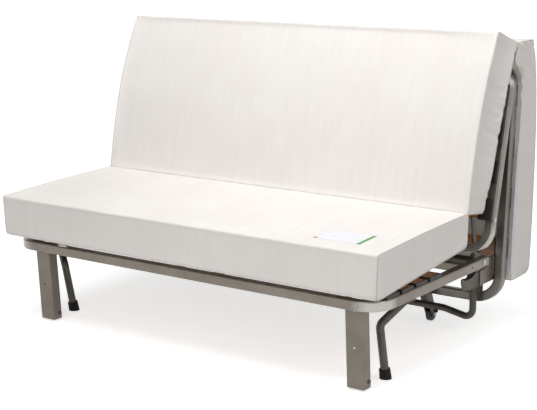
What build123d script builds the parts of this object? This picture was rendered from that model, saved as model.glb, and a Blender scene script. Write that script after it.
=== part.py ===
from build123d import *
import os
from math import atan2, cos, degrees, hypot, radians, sin, tan

# Mattress: three foam blocks, lengths in millimetres and angles in degrees
mattress_width = 1400
block_thickness = 128
block_corner_radius = 14
block_end_radius = 9
bow_share = 0.5
crown_height = 5
end_crown = 3
fabric_clearance = 0.6

# Seat block
seat_depth = 516
seat_top_pitch = 2.5
seat_underside_pitch = 5.4
seat_heel_radius = 28
rest_gap = 0.3

# Back block, leaning back on the seat's rear edge
back_length = 543
back_lean = 17.4
back_foot_thickness = 106
back_foot_pitch = 10.9
back_bow = 22
back_top_drop = 17.6
back_top_thickness = 131
back_neck_drop = 55
back_neck_reach = 46
back_shoulder_drop = 112
back_shoulder_reach = 70.5
back_hollow = 12
back_seat_gap = 0.5

# Rear block, hanging behind the back
fold_gap = 18
rear_top_length = 106
rear_top_pitch = 3
rear_outer_bow = 26
rear_block_foot_height = 163
rear_outer_foot_reach = 143
rear_foot_radius = 34

# Steel frames of bent tube
tube_size = 30
back_tube_size = 28
tube_wall = 1.5
tube_corner_radius = 5
frame_inset = 10
frame_nest_gap = 2
front_bend_radius = 80
foot_bend_radius = 92
back_bend_radius = 78
top_bend_radius = 45
rail_front = 22
rail_bottom_height = 243
rail_rear_reach = 169
spare_hole_reach = 77
cross_bar_reach = 93
cross_bar_size = 25
plug_thickness = 3
plug_depth = 16
back_frame_lean = 13.6
back_frame_foot_rise = 47
frame_top_drop = 87.8
back_frame_gap = 29.3
rear_frame_lean = 3.4
rear_frame_foot_height = 94
rear_frame_reach = 261.6

# Sprung wooden slats and the moulded holders that carry their ends
slat_width = 58
slat_thickness = 7
slat_end_inset = 9
holder_length = 66
holder_reach = 44
holder_height = 10.5
holder_roof = 1.6
holder_skirt = 15
holder_radius = 1.5
slat_clearance = 0.3
seat_slat_places = (110, 189, 268, 347)
back_slat_rises = (135, 247, 359, 471)
rear_slat_rises = (176, 336, 496, 656)
seat_slat_bow = 17
back_slat_bow = 8.2
rear_slat_bow = 7.2

# Front legs: pressed channels with a wheel inside, and bent stay legs
channel_width = 57
channel_depth = 36
channel_wall = 2
channel_bend_radius = 5
channel_inset = 70
channel_top_gap = 4
channel_rake = 3.5
channel_ground_gap = 6
channel_hole_radius = 3.2
channel_hole_drop = 108
wheel_radius = 24
wheel_width = 20
wheel_groove = 2.5
wheel_gap = 1
axle_radius = 4
axle_clearance = 0.05
axle_head_radius = 6.5
axle_head_height = 2.5
bolt_radius = 3
bolt_head_radius = 6
bolt_head_height = 2.5
stay_diameter = 24
stay_foot_inset = 83
stay_foot_depth = 208
stay_knee_depth = 171
stay_knee_height = 168
stay_top_inset = 23
stay_top_depth = 204
stay_plate_length = 52
stay_plate_thickness = 3
stay_bend_radius = 30
tip_diameter = 33
tip_foot_diameter = 36
tip_height = 31
tip_sole = 8

# Folding links between the seat rails and the back frame
link_pivot_reach = 136.2
link_pivot_rise = 17
link_length = 135
link_lean = 0.38
link_width = 18
link_kink_share = 0.28
link_kink = 18
link_thickness = 5
link_inset = 43
pivot_radius = 4
running_clearance = 0.05
pivot_head_radius = 8
pivot_head_height = 3.5
washer_gap = 0.4
link_shaft_radius = 12.5

# Hinge between the back frame and the rear frame
hinge_set_back = 7.8
hinge_inset = 50
hinge_ear_width = 15
hinge_ear_thickness = 4
hinge_ear_tip_radius = 6.5
hinge_pin_radius = 3.5
ear_gap = 0.5

# Far feet, fixed to the rear frame and lying under the seat when it is folded
far_foot_inset = 37
far_foot_thickness = 4
far_foot_top = 218
far_foot_plate_top = 250
far_foot_height = 46
far_foot_reach = 81.5
far_hook_length = 115
far_hook_nose_height = 30
far_hook_tail = 24
far_hook_throat_radius = 11
foot_bolt_shares = (0.3, 0.7)

# Rear leg: a hoop of round tube hung from two hangers under the seat rails
hoop_diameter = 22
hoop_inset = 83
hoop_pivot_reach = 66
hoop_pivot_drop = 83
hoop_foot_height = 33
hoop_bar_height = 64
hoop_ramp_inset = 185
hoop_bend_radius = 26
hoop_top_length = 14
hanger_thickness = 5
hanger_inset = 64
hanger_lobe_radius = 19
hanger_neck = 44
hanger_nose_reach = 45
hanger_nose_drop = 45
hanger_nose_radius = 9
hanger_flange_length = 46
stop_radius = 4
stop_drop = 24

# Castors on the hoop's raised bar
castor_inset = 253
castor_set_back = 40
castor_radius = 24
castor_width = 18
castor_groove = 2
bracket_wall = 2.5
bracket_head_rise = 48
bracket_head_reach = 4
bracket_web_share = 0.42
bracket_head_width = 34
bracket_foot_width = 26
bracket_flare = 6
bumper_inset = 214
bumper_radius = 7
bumper_height = 11

overrun = 5

# Places worked out from the sizes above
block_half = mattress_width / 2
frame_half = block_half - frame_inset
frame_width = 2 * frame_half
back_frame_half = frame_half + frame_nest_gap + back_tube_size
slat_level = holder_height - holder_roof - slat_thickness - slat_clearance
slat_top = slat_level + slat_thickness
rail_top = rail_bottom_height + tube_size
seat_rest = rail_top + slat_top + seat_slat_bow + rest_gap - crown_height
seat_slope = tan(radians(seat_underside_pitch))
seat_front_height = seat_rest - (seat_slat_places[0] - slat_width / 2) * seat_slope
seat_hinge = (
    seat_depth * cos(radians(seat_top_pitch)) - block_thickness * sin(radians(seat_top_pitch)),
    seat_front_height + block_thickness + seat_depth * sin(radians(seat_top_pitch)),
)
rail_rear = seat_hinge[0] + rail_rear_reach
rail_length = rail_rear - rail_front

link_foot = (seat_hinge[0] + link_pivot_reach, rail_bottom_height + link_pivot_rise)
spare_hole_depth = link_foot[0] - spare_hole_reach
cross_bar_depth = link_foot[0] - cross_bar_reach
link_place = frame_half - link_inset
hinge_place = frame_half - hinge_inset

channel_outer_place = frame_half - channel_inset
channel_middle = channel_outer_place - channel_width / 2
channel_top = (rail_front + tube_size + fabric_clearance, rail_top - channel_top_gap)
channel_lean = (channel_top[1] - channel_ground_gap) * tan(radians(channel_rake))
channel_foot = (channel_top[0] + channel_lean, channel_ground_gap)
wheel_centre = (channel_foot[0] + channel_wall + wheel_gap + wheel_radius, wheel_radius)
stay_foot_place = frame_half - stay_foot_inset
stay_top_place = frame_half - stay_top_inset

rear_frame_front = seat_hinge[0] + rear_frame_reach
far_foot_place = frame_half - far_foot_inset
far_foot_front = rear_frame_front - far_foot_reach
far_foot_low = far_foot_top - far_foot_height

hoop_place = frame_half - hoop_inset
hoop_pivot = (rail_rear + hoop_pivot_reach, rail_bottom_height - hoop_pivot_drop)
hoop_bar = (hoop_pivot[0], hoop_bar_height)
hanger_place = frame_half - hanger_inset
hanger_nose = (rail_rear - hanger_nose_reach, rail_bottom_height - hanger_nose_drop)
castor_place = frame_half - castor_inset
castor_centre = (hoop_pivot[0] + castor_set_back, castor_radius)
bracket_head = (hoop_pivot[0] - bracket_head_reach, hoop_bar_height + bracket_head_rise)
bumper_place = frame_half - bumper_inset


def polar(start, angle, length):
    """The point in the side view at a distance along an angle from the vertical, towards the rear."""
    return (start[0] + length * sin(radians(angle)), start[1] + length * cos(radians(angle)))


def between(start, end, share, offset=0):
    """The point at a share of the way between two, moved square to the line, forwards if positive."""
    run, rise = end[0] - start[0], end[1] - start[1]
    length = hypot(run, rise)
    y = start[0] + run * share - offset * rise / length
    z = start[1] + rise * share + offset * run / length
    return (y, z)


def nearest(face, place):
    return face.vertices().sort_by_distance((place[0], place[1], 0))[0]


def across(face, low, high):
    """A side-view face given thickness in X from low to high."""
    return extrude(Plane.YZ.offset(low) * face, high - low)


def x_rod(place, radius, low, high):
    """A round rod along X at a side-view place."""
    start = Plane(origin=(low, place[0], place[1]), x_dir=(0, 1, 0), z_dir=(1, 0, 0))
    return extrude(start * Circle(radius), high - low)


def mirrored(shape):
    return mirror(shape, about=Plane.YZ)


# Soft blocks

def block(face, rest_line):
    """A foam block swept on a very wide arc, so that its middle stands a little proud of its ends."""
    start, end = rest_line
    arc_radius = block_half ** 2 / (2 * crown_height)
    length = hypot(end[0] - start[0], end[1] - start[1])
    inward = ((end[1] - start[1]) / length, -(end[0] - start[0]) / length)
    centre = (start[0] + inward[0] * arc_radius, start[1] + inward[1] * arc_radius)
    axis = Axis((0, *centre), (0, end[0] - start[0], end[1] - start[1]))
    half_angle = degrees(block_half / arc_radius)
    body = revolve((Plane.YZ * face).rotate(axis, -half_angle), axis, 2 * half_angle)
    body = Pos(0, -inward[0] * crown_height, -inward[1] * crown_height) * body
    ends = [f for f in body.faces() if abs(abs(f.center().X) - block_half) < end_crown]
    return fillet([e for f in ends for e in f.edges()], block_end_radius)


def seat_block():
    low_front = (0, seat_front_height)
    top_front = (0, seat_front_height + block_thickness)
    low_rear = polar(low_front, 90 - seat_underside_pitch, seat_depth - fabric_clearance)
    edges = [
        Line(low_front, top_front),
        ThreePointArc(top_front, between(top_front, seat_hinge, bow_share, end_crown), seat_hinge),
        Line(seat_hinge, low_rear),
        Line(low_rear, low_front),
    ]
    face = make_face(edges)
    face = fillet(nearest(face, low_rear), seat_heel_radius)
    corners = [nearest(face, place) for place in (low_front, top_front, seat_hinge)]
    return block(fillet(corners, block_corner_radius), (low_front, low_rear))


back_heel = (seat_hinge[0], seat_hinge[1] + back_seat_gap)
back_crest = polar(back_heel, back_lean, back_length)
back_fold_edge = polar(back_crest, 90 + back_top_drop, back_top_thickness)
back_foot_rear = polar(back_heel, 90 + back_foot_pitch, back_foot_thickness)
rear_fold_edge = (back_fold_edge[0] + fold_gap, back_fold_edge[1] - end_crown)
top_hinge = (back_fold_edge[0] + hinge_set_back, back_fold_edge[1])
link_head = polar(link_foot, link_lean, link_length)
frame_top_height = top_hinge[1] - frame_top_drop


def back_block():
    """The block is fuller in front and hollow behind, where it bends over the slats."""
    neck = (back_fold_edge[0] - back_neck_reach, back_fold_edge[1] - back_neck_drop)
    shoulder = (back_fold_edge[0] - back_shoulder_reach, back_fold_edge[1] - back_shoulder_drop)
    foot = back_foot_rear
    edges = [
        ThreePointArc(back_heel, between(back_heel, back_crest, bow_share, back_bow + end_crown), back_crest),
        Line(back_crest, back_fold_edge),
        Line(back_fold_edge, neck),
        Line(neck, shoulder),
        ThreePointArc(shoulder, between(foot, shoulder, bow_share, back_hollow), foot),
        Line(foot, back_heel),
    ]
    face = make_face(edges)
    sharp = [nearest(face, place) for place in (back_heel, back_crest, back_fold_edge, foot)]
    return block(fillet(sharp, block_corner_radius), (foot, shoulder))


def rear_block():
    top_outer = polar(rear_fold_edge, 90 - rear_top_pitch, rear_top_length)
    low_inner = (frame_rear_face(rear_block_foot_height), rear_block_foot_height)
    low_outer = (low_inner[0] + rear_outer_foot_reach, rear_block_foot_height)
    shoulder_height = frame_top_height + block_corner_radius
    shoulder = (frame_rear_face(shoulder_height), shoulder_height)
    edges = [
        Line(rear_fold_edge, top_outer),
        ThreePointArc(top_outer, between(low_outer, top_outer, bow_share, -rear_outer_bow), low_outer),
        Line(low_outer, low_inner),
        Line(low_inner, shoulder),
        Line(shoulder, rear_fold_edge),
    ]
    face = make_face(edges)
    face = fillet(nearest(face, low_outer), rear_foot_radius)
    sharp = [nearest(face, place) for place in (rear_fold_edge, top_outer, low_inner)]
    return block(fillet(sharp, block_corner_radius), (shoulder, low_inner))


# Frame planes: local X across, local Y along the frame, local Z towards the mattress

def frame_rear_face(height):
    """Depth of the rear slats' outer face, with its gap, at a height."""
    rise = height - rear_frame_foot_height
    proud = tube_size + slat_top + rear_slat_bow + rest_gap - crown_height
    lean = radians(rear_frame_lean)
    return rear_frame_front + rise * tan(lean) + proud / cos(lean)


def back_face_depth(height):
    """Depth of the back frame's front face at a height."""
    lean = tan(radians(back_frame_lean))
    return back_foot_rear[0] + back_frame_gap + (height - back_foot_rear[1]) * lean


def leaning_plane(origin, towards, lean):
    """A frame's plane at a side-view place, facing forwards or rearwards and leaning by an angle."""
    tilt = radians(lean)
    return Plane(
        origin=(0, *origin),
        x_dir=(1, 0, 0),
        z_dir=(0, towards * cos(tilt), -towards * sin(tilt)),
    )


seat_plane = Plane(origin=(0, rail_front, rail_top), x_dir=(1, 0, 0), z_dir=(0, 0, 1))

back_frame_foot_height = rail_bottom_height + back_frame_foot_rise
back_frame_base = (back_face_depth(back_frame_foot_height), back_frame_foot_height)
back_frame_length = (frame_top_height - back_frame_foot_height) / cos(radians(back_frame_lean))
back_plane = leaning_plane(back_frame_base, -1, back_frame_lean)

rear_frame_length = (frame_top_height - rear_frame_foot_height) / cos(radians(rear_frame_lean))
rear_frame_foot = (rear_frame_front, rear_frame_foot_height)
rear_frame_crest = polar(rear_frame_foot, rear_frame_lean, rear_frame_length)
rear_frame_head = polar(rear_frame_crest, 90 + rear_frame_lean, tube_size)
rear_plane = leaning_plane(rear_frame_head, 1, rear_frame_lean)


def ring_outline(half, length, margin, foot_radius, head_radius):
    """A frame's outline set in by a margin, with its own radius at the foot and at the head."""
    low, high, side = margin, length - margin, half - margin
    corners = Polyline((-side, low), (side, low), (side, high), (-side, high), close=True)
    face = make_face(corners)
    feet = face.vertices().group_by(Axis.Y)[0]
    face = fillet(feet, foot_radius - margin)
    heads = [nearest(face, (x, high)) for x in (-side, side)]
    return fillet(heads, head_radius - margin)


def bent_frame(half, length, size, foot_radius, head_radius):
    """A frame of square tube, bent at its four corners and welded shut, so its bore is left out."""
    outer = ring_outline(half, length, 0, foot_radius, head_radius)
    inner = ring_outline(half, length, size, foot_radius, head_radius)
    body = extrude(outer - inner, -size)
    flats = body.faces().filter_by(Axis.Z)
    return fillet(flats.edges(), tube_corner_radius)


# Seat section

def bolt_places():
    """The two bolts of a front leg, a quarter of its width each side of its middle."""
    spread = channel_width / 4
    return (channel_middle - spread, channel_middle + spread)


def seat_frame():
    """The seat's open frame: one tube bent at the two front corners and cut square at the rear."""
    uncut_length = rail_length + front_bend_radius + tube_size
    whole = bent_frame(frame_half, uncut_length, tube_size, front_bend_radius, top_bend_radius)
    span = frame_width + 2 * overrun
    waste = Box(span, span, tube_size + 2 * overrun)
    rails = whole - Pos(0, rail_length + span / 2, -tube_size / 2) * waste
    for side in (-1, 1):
        rails = rails - rail_cuts(side)
    return seat_plane * rails


def rail_cuts(side):
    """The pivot hole, the spare hole, the plug's socket and the bolt holes of one side."""
    bore = tube_size - 2 * tube_wall
    cuts = []
    holes = ((link_foot[0], pivot_radius + running_clearance), (spare_hole_depth, bolt_radius))
    for depth, radius in holes:
        place = Pos(side * frame_half, depth - rail_front, link_foot[1] - rail_top)
        cuts.append(place * Rot(0, 90, 0) * Cylinder(radius, 3 * tube_size))
    mouth = Pos(side * (frame_half - tube_size / 2), rail_length - plug_depth / 2, -tube_size / 2)
    cuts.append(mouth * Box(bore, plug_depth, bore))
    shallow = Rot(90, 0, 0) * Cylinder(bolt_radius, 4 * tube_wall)
    cuts.append(Pos(side * (channel_outer_place + 2 * bolt_radius), 0, -tube_size / 2) * shallow)
    for bolt_x in bolt_places():
        cuts.append(Pos(side * bolt_x, tube_size, -tube_size / 2) * shallow)
    return cuts


def seat_cross_bar():
    """A hollow square tube between the side rails."""
    bore = cross_bar_size - 2 * tube_wall
    outer = fillet(Rectangle(cross_bar_size, cross_bar_size).vertices(), tube_corner_radius - tube_wall)
    tube = extrude(outer - Rectangle(bore, bore), frame_half - tube_size, both=True)
    return Pos(0, cross_bar_depth, link_foot[1]) * Rot(0, 90, 0) * tube


def rail_plug(side):
    """A moulded plug that closes the rail's cut end."""
    inner = tube_size - 2 * tube_wall - 2 * slat_clearance
    cap = fillet(Rectangle(tube_size, tube_size).vertices(), tube_corner_radius - tube_wall)
    plug = extrude(cap, plug_thickness) + extrude(Rectangle(inner, inner), -plug_depth)
    end = (side * (frame_half - tube_size / 2), rail_rear, rail_top - tube_size / 2)
    return Plane(origin=end, x_dir=(1, 0, 0), z_dir=(0, 1, 0)) * plug


# Slats and holders, in a frame's own plane

def slat(half, bow):
    """A laminated slat, sprung into a shallow arc towards the mattress."""
    reach = half - slat_end_inset
    low = ThreePointArc((-reach, slat_level), (0, slat_level + bow), (reach, slat_level))
    high = ThreePointArc((-reach, slat_top), (0, slat_top + bow), (reach, slat_top))
    face = make_face([low, high, Line(low @ 0, high @ 0), Line(low @ 1, high @ 1)])
    return extrude(Plane.XZ * face, slat_width / 2, both=True)


def slat_holder(half, size, bow):
    """A moulded pocket on the tube's mattress side, with a skirt that grips the tube's inner wall."""
    middle = half - slat_end_inset / 2 - holder_reach / 2
    body = Pos(middle, 0, holder_height / 2) * Box(holder_reach, holder_length, holder_height)
    body = chamfer(body.edges().filter_by(Axis.Z), holder_radius)
    skirt_thickness = 2 * tube_wall
    skirt_x = half - size - skirt_thickness / 2 - slat_clearance
    skirt = Box(skirt_thickness, slat_width / 3, holder_skirt + holder_roof)
    body = body + Pos(skirt_x, 0, (holder_roof - holder_skirt) / 2) * skirt
    ceiling = holder_height - holder_roof
    lowest = ceiling - slat_thickness - 2 * slat_clearance
    lift = bow * 2 * holder_reach / half
    pocket = Box(2 * holder_reach, slat_width + 2 * slat_clearance, ceiling - lowest + lift)
    inner_end = half - slat_end_inset - holder_reach + slat_clearance
    return body - Pos(inner_end, 0, (ceiling + lowest + lift) / 2) * pocket


def slat_set(plane, half, size, bow, places, name):
    """The slats of one frame, each a node, and their holders as one node."""
    blade = slat(half, bow)
    holder = slat_holder(half, size, bow)
    nodes, holders = {}, []
    for number, place in enumerate(places, 1):
        nodes[f"{name}_slat_{number}"] = plane * (Pos(0, place, 0) * blade)
        for one in (holder, mirrored(holder)):
            holders.append(plane * (Pos(0, place, 0) * one))
    nodes[f"{name}_slat_holders"] = Compound(children=holders)
    return nodes


def slat_places():
    """Where each frame's slats lie along it: the seat's from the front, the others' from foot or head."""
    back_rise = cos(radians(back_frame_lean))
    rear_rise = cos(radians(rear_frame_lean))
    return (
        [place - rail_front for place in seat_slat_places],
        [rise / back_rise for rise in back_slat_rises],
        [rear_frame_length - rise / rear_rise for rise in rear_slat_rises],
    )


# Wheels and axles

def wheel(centre, middle, radius, width, groove):
    """A moulded wheel with a bevelled tread, a recessed outer face and an axle bore."""
    half, bore, bevel = width / 2, axle_radius + axle_clearance, radius / 8
    points = [
        (bore, -half), (radius - bevel, -half), (radius, bevel - half), (radius, half - bevel),
        (radius - bevel, half), (radius / 2, half), (radius / 2, half - groove), (bore, half - groove),
    ]
    body = revolve(make_face(Polyline(*points, close=True)), Axis.Y)
    return Pos(middle, centre[0], centre[1]) * Rot(0, 0, -90) * body


def axle(centre, middle, width, wall):
    """A riveted axle with a head on the outside of each wall."""
    half = width / 2 + wall
    end = half + axle_head_height
    pin = x_rod(centre, axle_radius, middle - end, middle + end)
    for side in (-1, 1):
        face = middle + side * (half + washer_gap / 4)
        low, high = sorted((face, face + side * axle_head_height))
        pin = pin + x_rod(centre, axle_head_radius, low, high)
    return pin


# Front legs

def front_leg():
    """A pressed channel, open to the rear, bolted to the back of the front rail."""
    length = (channel_top[1] - channel_ground_gap) / cos(radians(channel_rake)) + overrun
    bore = channel_width - 2 * channel_wall
    outer = Pos(0, channel_depth / 2) * Rectangle(channel_width, channel_depth)
    outer = fillet(outer.vertices().group_by(Axis.Y)[0], channel_bend_radius)
    inner = Pos(0, channel_wall + channel_depth / 2) * Rectangle(bore, channel_depth)
    inner = fillet(inner.vertices().group_by(Axis.Y)[0], channel_bend_radius - channel_wall)
    rake = radians(channel_rake)
    up = (0, -sin(rake), cos(rake))
    head = Plane(origin=(channel_middle, *channel_top), x_dir=(1, 0, 0), z_dir=up)
    leg = extrude(head * (outer - inner), -length)
    ground_height = channel_ground_gap + 2 * overrun
    ground = Box(2 * channel_width, 3 * channel_depth, ground_height)
    leg = leg - Pos(channel_middle, channel_foot[0], channel_ground_gap - ground_height / 2) * ground
    for drop in (tube_size + 2 * bolt_radius, tube_size + 2 * bolt_radius + channel_hole_drop):
        leg = leg - y_rod(channel_middle, polar(channel_top, 180 - channel_rake, drop), channel_hole_radius)
    for bolt_x in bolt_places():
        place = (channel_top[0], rail_top - tube_size / 2)
        leg = leg - y_rod(bolt_x, place, bolt_radius + running_clearance)
    low, high = channel_middle - channel_width, channel_middle + channel_width
    return leg - x_rod(wheel_centre, axle_radius + axle_clearance, low, high)


def y_rod(across_place, place, radius):
    """A short round cutter along Y through a channel's wall."""
    return Pos(across_place, *place) * Rot(90, 0, 0) * Cylinder(radius, 4 * channel_wall)


def leg_bolts():
    """Two bolts through the front rail and each channel, with nuts behind."""
    start = rail_front + tube_size - tube_wall
    end = rail_front + tube_size + fabric_clearance + channel_wall + 2 * tube_wall
    height = rail_top - tube_size / 2
    bolts = []
    for bolt_x in bolt_places():
        shank = Pos(bolt_x, (start + end) / 2, height) * Rot(90, 0, 0) * Cylinder(bolt_radius, end - start)
        back = Plane(origin=(bolt_x, end - bolt_head_height / 2, height), x_dir=(1, 0, 0), z_dir=(0, 1, 0))
        bolts.append(shank + extrude(back * RegularPolygon(bolt_head_radius, 6), bolt_head_height))
    return bolts + [mirrored(bolt) for bolt in bolts]


stay_foot = Vector(stay_foot_place, stay_foot_depth, 0)
stay_knee = Vector(stay_foot_place, stay_knee_depth, stay_knee_height)
stay_ceiling = rail_bottom_height - stay_plate_thickness


def round_tube(path, diameter):
    """A round tube bent along a path; both its ends are closed by other pieces, so its bore is left out."""
    return sweep(Plane(origin=path @ 0, z_dir=path % 0) * Circle(diameter / 2), path)


def stay_leg():
    """A bent stay leg with the plate that bolts it under the side rail."""
    start = stay_foot + (stay_knee - stay_foot).normalized() * tip_sole
    top = Vector(stay_top_place, stay_top_depth, stay_ceiling)
    leg = round_tube(FilletPolyline(start, stay_knee, top, radius=stay_bend_radius), stay_diameter)
    waste = Box(4 * stay_diameter, 4 * stay_diameter, 2 * stay_diameter)
    leg = leg - Pos(stay_top_place, stay_top_depth, stay_ceiling + stay_diameter) * waste
    plate = Box(tube_size - 2 * tube_wall, stay_plate_length, stay_plate_thickness)
    middle = stay_ceiling + stay_plate_thickness / 2
    return leg + Pos(frame_half - tube_size / 2, stay_top_depth, middle) * plate


def stay_tip():
    """A rubber ferrule on the stay leg, its sole cut flat on the floor."""
    up = (stay_knee - stay_foot).normalized()
    taper = degrees(atan2((tip_foot_diameter - tip_diameter) / 2, tip_height))
    sole = Plane(origin=stay_foot - up * tip_sole, z_dir=up) * Circle(tip_foot_diameter / 2)
    body = extrude(sole, tip_height + tip_sole, taper=taper)
    seat = Plane(origin=stay_foot + up * tip_sole, z_dir=up) * Circle(stay_diameter / 2)
    socket = extrude(seat, tip_height + tip_sole)
    ground = Box(3 * tip_diameter, 3 * tip_diameter, 2 * tip_height)
    return body - socket - Pos(stay_foot_place, stay_foot_depth, -tip_height) * ground


# Folding links

def link_arm():
    """A flat link from the seat rail to the back frame, cranked rearwards to clear the frame's foot."""
    kink = between(link_foot, link_head, link_kink_share, -link_kink)
    half = link_width / 2
    low, high = link_place - link_thickness / 2, link_place + link_thickness / 2
    arm = x_rod(kink, half, low, high)
    for start, end in ((link_foot, kink), (kink, link_head)):
        angle = degrees(atan2(end[0] - start[0], end[1] - start[1]))
        left, right = angle - 90, angle + 90
        corners = [
            polar(start, left, half), polar(end, left, half),
            polar(end, right, half), polar(start, right, half),
        ]
        arm = arm + across(make_face(Polyline(*corners, close=True)), low, high)
    arm = arm + [x_rod(eye, half, low, high) for eye in (link_foot, link_head)]
    hole = pivot_radius + running_clearance
    return arm - [x_rod(eye, hole, low - overrun, high + overrun) for eye in (link_foot, link_head)]


def link_shaft():
    """A tube on the links' lower axis that makes the left and right links turn as one."""
    half = link_place - link_thickness / 2
    bore = x_rod(link_foot, link_shaft_radius - tube_wall, -half - overrun, half + overrun)
    return x_rod(link_foot, link_shaft_radius, -half, half) - bore


def pivot_bolt(centre, outer_end):
    """A shouldered pivot bolt along X with a round head inside the link and a dome outside the frame."""
    inner_end = link_place - link_thickness / 2 - washer_gap
    shank = x_rod(centre, pivot_radius, inner_end, outer_end)
    head = x_rod(centre, pivot_head_radius, inner_end - pivot_head_height, inner_end)
    dome = x_rod(centre, pivot_head_radius, outer_end, outer_end + pivot_head_height / 2)
    return shank + head + dome


def seat_spacer():
    """A washer between the link and the rail."""
    low = link_place + link_thickness / 2 + washer_gap
    high = frame_half - tube_size
    bore = x_rod(link_foot, pivot_radius, low - overrun, high + overrun)
    return x_rod(link_foot, pivot_head_radius, low, high) - bore


def back_pivot_bolt():
    """The back frame's pivot bolt, with a collar between the link and the frame."""
    low = link_place + link_thickness / 2 + washer_gap
    collar = x_rod(link_head, pivot_head_radius, low, back_frame_half - back_tube_size)
    return pivot_bolt(link_head, back_frame_half) + collar


def back_frame():
    """The back's closed frame, drilled through both side tubes for the links."""
    ring = bent_frame(back_frame_half, back_frame_length, back_tube_size, back_bend_radius, top_bend_radius)
    frame = back_plane * ring
    for side in (-1, 1):
        low, high = sorted((side * (frame_half - tube_size), side * (back_frame_half + overrun)))
        frame = frame - x_rod(link_head, pivot_radius + running_clearance, low, high)
    return frame


def rear_frame():
    """The rear's closed frame, with the wide bends at its foot."""
    ring = bent_frame(frame_half, rear_frame_length, tube_size, foot_bend_radius, top_bend_radius)
    return rear_plane * Pos(0, rear_frame_length, 0) * Rot(0, 0, 180) * ring


# Hinge between the back and rear frames

def hinge_ear(root, place):
    """A flat ear from a frame's top tube to the hinge pin, with a rounded tip."""
    angle = degrees(atan2(root[0] - top_hinge[0], root[1] - top_hinge[1]))
    left, right = angle - 90, angle + 90
    corners = [
        polar(top_hinge, left, hinge_ear_tip_radius), polar(root, left, hinge_ear_width / 2),
        polar(root, right, hinge_ear_width / 2), polar(top_hinge, right, hinge_ear_tip_radius),
    ]
    bar = across(make_face(Polyline(*corners, close=True)), place, place + hinge_ear_thickness)
    return bar + x_rod(top_hinge, hinge_ear_tip_radius, place, place + hinge_ear_thickness)


def seated_ear(plane, length, size, root, place, hole_radius):
    """An ear cut square where it is welded on the frame's top tube, and drilled for the pin."""
    waste = Box(frame_width, length, 3 * size)
    ear = hinge_ear(root, place) - plane * Pos(0, length / 2, -size / 2) * waste
    return ear - x_rod(top_hinge, hole_radius, place - overrun, place + hinge_ear_thickness + overrun)


def back_ear():
    crest = polar(back_frame_base, back_frame_lean, back_frame_length - overrun)
    root = polar(crest, 90 + back_frame_lean, back_tube_size / 2)
    hole = hinge_pin_radius + running_clearance
    return seated_ear(back_plane, back_frame_length, back_tube_size, root, hinge_place, hole)


def rear_ear():
    crest = polar(rear_frame_head, 270 + rear_frame_lean, tube_size / 2)
    root = polar(crest, 180 + rear_frame_lean, overrun)
    place = hinge_place + hinge_ear_thickness + ear_gap
    return seated_ear(rear_plane, rear_frame_length, tube_size, root, place, hinge_pin_radius)


def hinge_pin():
    low = hinge_place - axle_head_height
    high = hinge_place + 2 * hinge_ear_thickness + ear_gap
    head = x_rod(top_hinge, hinge_ear_tip_radius - ear_gap, low, hinge_place - ear_gap)
    return x_rod(top_hinge, hinge_pin_radius, low, high) + head


# Far feet on the rear frame

def rear_frame_depth(height):
    """Depth of the rear frame's front face at a height."""
    return rear_frame_front + (height - rear_frame_foot_height) * tan(radians(rear_frame_lean))


def far_foot():
    """A plate on the rear frame's side tube, reaching forward under the seat."""
    low, high = far_foot_low, far_foot_plate_top
    rear_high = rear_frame_depth(high)
    outline = Polyline(
        (far_foot_front, low), (rear_frame_depth(low) + tube_size, low), (rear_high + tube_size, high),
        (rear_high - tube_size, high), (rear_high - 2 * tube_size, far_foot_top),
        (far_foot_front, far_foot_top), close=True,
    )
    plate = across(make_face(outline), far_foot_place, far_foot_place + far_foot_thickness)
    pad_low = rear_frame_foot_height + foot_bend_radius + tube_wall
    pad_front = rear_frame_depth(pad_low)
    pad = Polyline(
        (pad_front, pad_low), (pad_front + tube_size, pad_low),
        (rear_high + tube_size, high), (rear_high, high), close=True,
    )
    return plate + across(make_face(pad), far_foot_place, frame_half - tube_size)


def far_shoe():
    """The curved shoe that the bed stands on when it is open, with the throat on its upper side."""
    tail, throat, tip = far_hook_tail, far_hook_throat_radius, far_foot_front - far_hook_length
    outline = Polyline(
        (far_foot_front + tail, far_foot_low), (far_foot_front + tail, far_foot_top),
        (far_foot_front - tail, far_foot_top), (far_foot_front - 2 * tail, far_foot_top - throat),
        (tip + tail, far_foot_top - throat), (tip, far_foot_top),
        (tip, far_foot_top - far_hook_nose_height / 2),
        (tip + tail / 2, far_foot_low + throat / 2), (tip + 2 * tail, far_foot_low), close=True,
    )
    face = make_face(outline)
    face = fillet(face.vertices(), throat / 4)
    return across(face, far_foot_place - far_foot_thickness, far_foot_place)


def far_bolts():
    """Two round bolt heads on the inner side of each shoe."""
    outer = far_foot_place - far_foot_thickness
    bolts = []
    for share in foot_bolt_shares:
        centre = (far_foot_front + far_hook_tail / 2, far_foot_low + far_foot_height * share)
        bolts.append(x_rod(centre, bolt_head_radius, outer - bolt_head_height, outer))
    return bolts + [mirrored(bolt) for bolt in bolts]


# Rear leg hoop

def hoop_leg():
    """A hoop of round tube with a foot at each corner and a raised bar between."""
    half = [
        (hoop_place, hoop_pivot[0], hoop_pivot[1] + hoop_top_length),
        (hoop_place, hoop_pivot[0], hoop_foot_height + hoop_diameter / 2),
        (frame_half - hoop_ramp_inset, hoop_pivot[0], hoop_bar_height),
    ]
    rest = [(-x, y, z) for x, y, z in reversed(half)]
    radii = [hoop_bend_radius, 3 * hoop_bend_radius, 3 * hoop_bend_radius, hoop_bend_radius]
    hoop = round_tube(FilletPolyline(*half, *rest, radius=radii), hoop_diameter)
    for side in (-1, 1):
        low, high = sorted((side * (hoop_place - hoop_diameter), side * (hoop_place + hoop_diameter)))
        hoop = hoop - x_rod(hoop_pivot, pivot_radius + running_clearance, low, high)
    return hoop


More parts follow.
